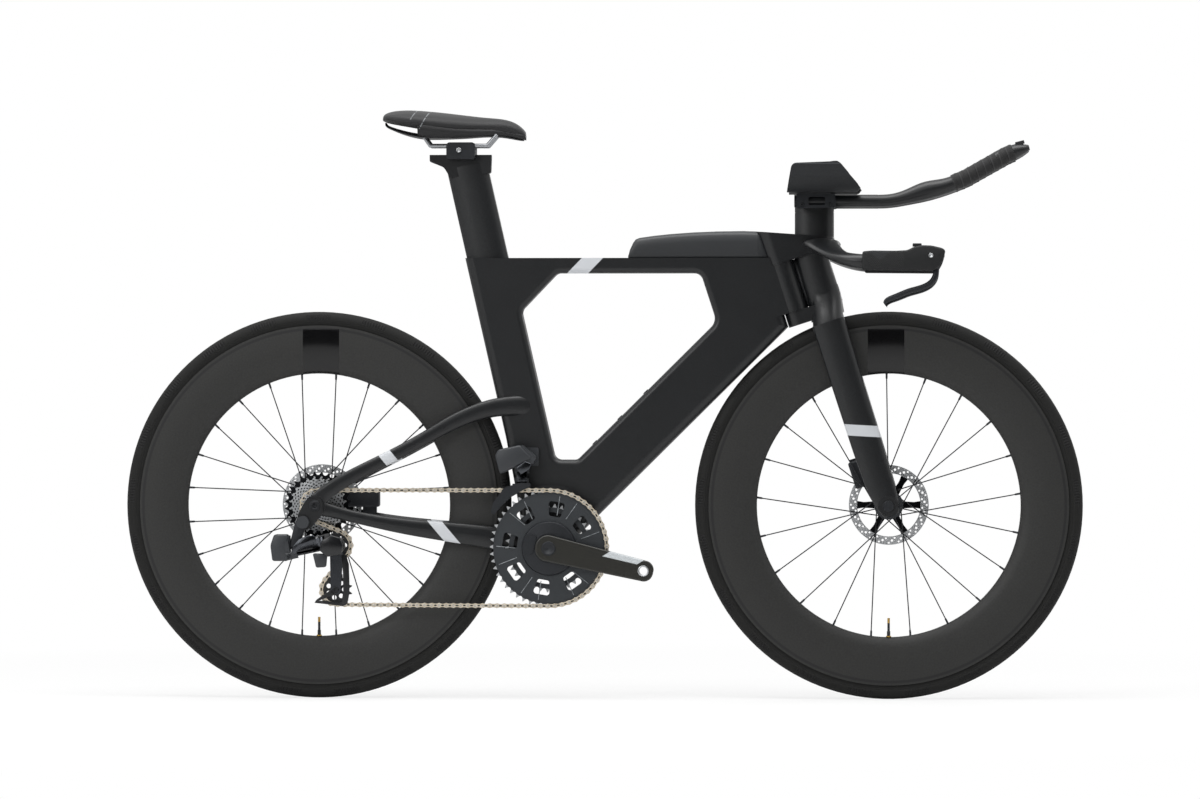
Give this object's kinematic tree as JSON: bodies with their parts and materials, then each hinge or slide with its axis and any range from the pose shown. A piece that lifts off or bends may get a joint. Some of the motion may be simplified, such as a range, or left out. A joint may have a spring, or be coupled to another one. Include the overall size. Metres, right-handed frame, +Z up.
{
  "type": "time trial bike",
  "caption": "Aerodynamic time trial bike with a deep-tube frame, disc brakes, deep rims, base bar with levers, forearm cups on clip-on extensions, double chainset and electronic derailleurs.",
  "frame": {"origin": "on the ground midway between the two axles, in the wheels' middle plane, at the bottom centre of the bounding box", "axes": "+X points forward along the bike, +Y to the rider's left, +Z up"},
  "size_m": [1.678, 0.4129, 1.0316],
  "materials": {
    "carbon_satin": "matte",
    "carbon_gloss": "glossy",
    "tyre_rubber": "matte",
    "grip_rubber": "matte",
    "pad_foam": "matte",
    "saddle_skin": "matte",
    "black_alloy": "satin",
    "silver_alloy": "satin",
    "steel": "satin",
    "nickel_chain": "polished",
    "black_plastic": "matte"
  },
  "bodies": {
    "frame": {"main_frame": "carbon_satin", "storage_box": "black_plastic", "bottom_bracket_bearings": "steel", "headset_bearings": "steel", "seatpost_wedge": "black_alloy", "derailleur_hanger": "black_alloy", "rear_thru_axle": "black_alloy", "rear_caliper": "black_alloy", "chain": "nickel_chain", "front_derailleur_body": "black_plastic", "rear_derailleur_knuckle": "black_alloy"},
    "seatpost": {"seatpost": "carbon_satin"},
    "saddle": {"saddle_clamp": "black_alloy", "saddle_rails": "silver_alloy", "saddle_shell": "black_plastic", "saddle_cover": "saddle_skin"},
    "crankset": {"right_crank_arm": "carbon_gloss", "left_crank_arm": "carbon_gloss", "crank_spider": "black_alloy", "chainrings": "black_alloy"},
    "cassette": {"cassette": "steel", "freehub_body": "black_alloy"},
    "rear_wheel": {"rear_tyre": "tyre_rubber", "rear_rim": "carbon_satin", "rear_spokes": "steel", "rear_hub": "black_alloy", "rear_rotor": "steel", "rear_valve": "black_alloy"},
    "front_wheel": {"front_tyre": "tyre_rubber", "front_rim": "carbon_satin", "front_spokes": "steel", "front_hub": "black_alloy", "front_rotor": "steel", "front_valve": "black_alloy"},
    "fork": {"fork": "carbon_satin", "front_thru_axle": "black_alloy", "front_caliper": "black_alloy", "stem": "carbon_satin", "base_bar": "carbon_satin", "bar_grips": "grip_rubber", "riser_column": "carbon_satin", "extension_clamps": "black_alloy", "arm_cups": "carbon_satin", "arm_pads": "pad_foam"},
    "rear_derailleur_outer_link": {"rear_derailleur_outer_link": "black_alloy"},
    "rear_derailleur_inner_link": {"rear_derailleur_inner_link": "black_alloy"},
    "rear_derailleur_moving_knuckle": {"rear_derailleur_moving_knuckle": "black_alloy"},
    "rear_derailleur_cage": {"rear_derailleur_cage": "black_alloy"},
    "guide_pulley": {"guide_pulley": "black_plastic"},
    "tension_pulley": {"tension_pulley": "black_plastic"},
    "front_derailleur_link": {"front_derailleur_link": "black_alloy"},
    "front_derailleur_cage": {"front_derailleur_cage": "black_alloy"},
    "right_brake_lever": {"right_brake_lever": "black_alloy"},
    "right_bar_button": {"right_bar_button": "black_plastic"},
    "right_extension": {"right_extension": "carbon_satin"},
    "right_extension_button": {"right_extension_button": "black_plastic"},
    "left_brake_lever": {"left_brake_lever": "black_alloy"},
    "left_bar_button": {"left_bar_button": "black_plastic"},
    "left_extension": {"left_extension": "carbon_satin"},
    "left_extension_button": {"left_extension_button": "black_plastic"}
  },
  "joints": [
    {"name": "steering", "type": "hinge", "parent": "frame", "child": "fork", "pos_m": [0.32359, 0, 0.72014], "axis": [-0.309, 0, 0.9511], "range_deg": [-45, 45]},
    {"name": "front_wheel_spin", "type": "hinge", "parent": "fork", "child": "front_wheel", "pos_m": [0.5, 0, 0.339], "axis": [0, 1, 0], "continuous": true},
    {"name": "rear_wheel_spin", "type": "hinge", "parent": "frame", "child": "rear_wheel", "pos_m": [-0.5, 0, 0.339], "axis": [0, 1, 0], "continuous": true},
    {"name": "crank_spin", "type": "hinge", "parent": "frame", "child": "crankset", "pos_m": [-0.0922, 0, 0.2645], "axis": [0, 1, 0], "continuous": true, "deforming": ["chain"]},
    {"name": "cassette_spin", "type": "hinge", "parent": "frame", "child": "cassette", "pos_m": [-0.5, 0, 0.339], "axis": [0, 1, 0], "continuous": true},
    {"name": "seatpost_height", "type": "slide", "parent": "frame", "child": "seatpost", "axis": [-0.2215, 0, 0.9751], "range_m": [-0.06, 0.04]},
    {"name": "saddle_setback", "type": "slide", "parent": "seatpost", "child": "saddle", "axis": [1, 0, 0], "range_m": [-0.025, 0.022]},
    {"name": "rear_derailleur_shift", "type": "hinge", "parent": "frame", "child": "rear_derailleur_outer_link", "pos_m": [-0.53668, -0.08563, 0.26518], "axis": [-0.1801, 0.5, 0.8471], "range_deg": [-14, 41], "deforming": ["chain"]},
    {"name": "rear_derailleur_inner_link_swing", "type": "hinge", "parent": "frame", "child": "rear_derailleur_inner_link", "pos_m": [-0.53532, -0.07437, 0.25882], "axis": [-0.1801, 0.5, 0.8471], "range_deg": [-14, 41]},
    {"name": "rear_derailleur_knuckle_level", "type": "hinge", "parent": "rear_derailleur_outer_link", "child": "rear_derailleur_moving_knuckle", "pos_m": [-0.48777, -0.08563, 0.27558], "axis": [-0.1801, 0.5, 0.8471], "range_deg": [-41, 14]},
    {"name": "cage_tension", "type": "hinge", "parent": "rear_derailleur_moving_knuckle", "child": "rear_derailleur_cage", "pos_m": [-0.4637, -0.06, 0.2691], "axis": [0, 1, 0], "range_deg": [-35, 35], "stiffness_Nm_per_rad": 1, "deforming": ["chain"]},
    {"name": "guide_pulley_spin", "type": "hinge", "parent": "rear_derailleur_cage", "child": "guide_pulley", "pos_m": [-0.4637, -0.049, 0.2691], "axis": [0, 1, 0], "continuous": true},
    {"name": "tension_pulley_spin", "type": "hinge", "parent": "rear_derailleur_cage", "child": "tension_pulley", "pos_m": [-0.46567, -0.049, 0.19173], "axis": [0, 1, 0], "continuous": true},
    {"name": "front_derailleur_shift", "type": "hinge", "parent": "frame", "child": "front_derailleur_link", "pos_m": [-0.1402, -0.038, 0.4], "axis": [1, 0, 0], "range_deg": [0, 22], "deforming": ["chain"]},
    {"name": "front_derailleur_cage_level", "type": "hinge", "parent": "front_derailleur_link", "child": "front_derailleur_cage", "pos_m": [-0.1402, -0.046, 0.382], "axis": [1, 0, 0], "range_deg": [-22, 0]},
    {"name": "right_brake_squeeze", "type": "hinge", "parent": "fork", "child": "right_brake_lever", "pos_m": [0.5702, -0.19, 0.7722], "axis": [0, 1, 0], "range_deg": [0, 14], "stiffness_Nm_per_rad": 3},
    {"name": "right_bar_button_press", "type": "slide", "parent": "fork", "child": "right_bar_button", "axis": [0, 0, -1], "range_m": [0, 0.0015], "stiffness_N_per_m": 800},
    {"name": "right_extension_reach", "type": "slide", "parent": "fork", "child": "right_extension", "axis": [1, 0, 0], "range_m": [-0.03, 0.03]},
    {"name": "right_extension_button_press", "type": "slide", "parent": "right_extension", "child": "right_extension_button", "axis": [0.2419, 0, -0.9703], "range_m": [0, 0.0015], "stiffness_N_per_m": 800},
    {"name": "left_brake_squeeze", "type": "hinge", "parent": "fork", "child": "left_brake_lever", "pos_m": [0.5702, 0.19, 0.7722], "axis": [0, 1, 0], "range_deg": [0, 14], "stiffness_Nm_per_rad": 3},
    {"name": "left_bar_button_press", "type": "slide", "parent": "fork", "child": "left_bar_button", "axis": [0, 0, -1], "range_m": [0, 0.0015], "stiffness_N_per_m": 800},
    {"name": "left_extension_reach", "type": "slide", "parent": "fork", "child": "left_extension", "axis": [1, 0, 0], "range_m": [-0.03, 0.03]},
    {"name": "left_extension_button_press", "type": "slide", "parent": "left_extension", "child": "left_extension_button", "axis": [0.2419, 0, -0.9703], "range_m": [0, 0.0015], "stiffness_N_per_m": 800}
  ],
  "couplings": [
    {"joint": "cassette_spin", "follows": "crank_spin", "ratio": 3.8462},
    {"joint": "tension_pulley_spin", "follows": "crank_spin", "ratio": 3.8462},
    {"joint": "guide_pulley_spin", "follows": "crank_spin", "ratio": -4.1667},
    {"joint": "rear_derailleur_inner_link_swing", "follows": "rear_derailleur_shift", "ratio": 1},
    {"joint": "rear_derailleur_knuckle_level", "follows": "rear_derailleur_shift", "ratio": -1},
    {"joint": "front_derailleur_cage_level", "follows": "front_derailleur_shift", "ratio": -1}
  ]
}
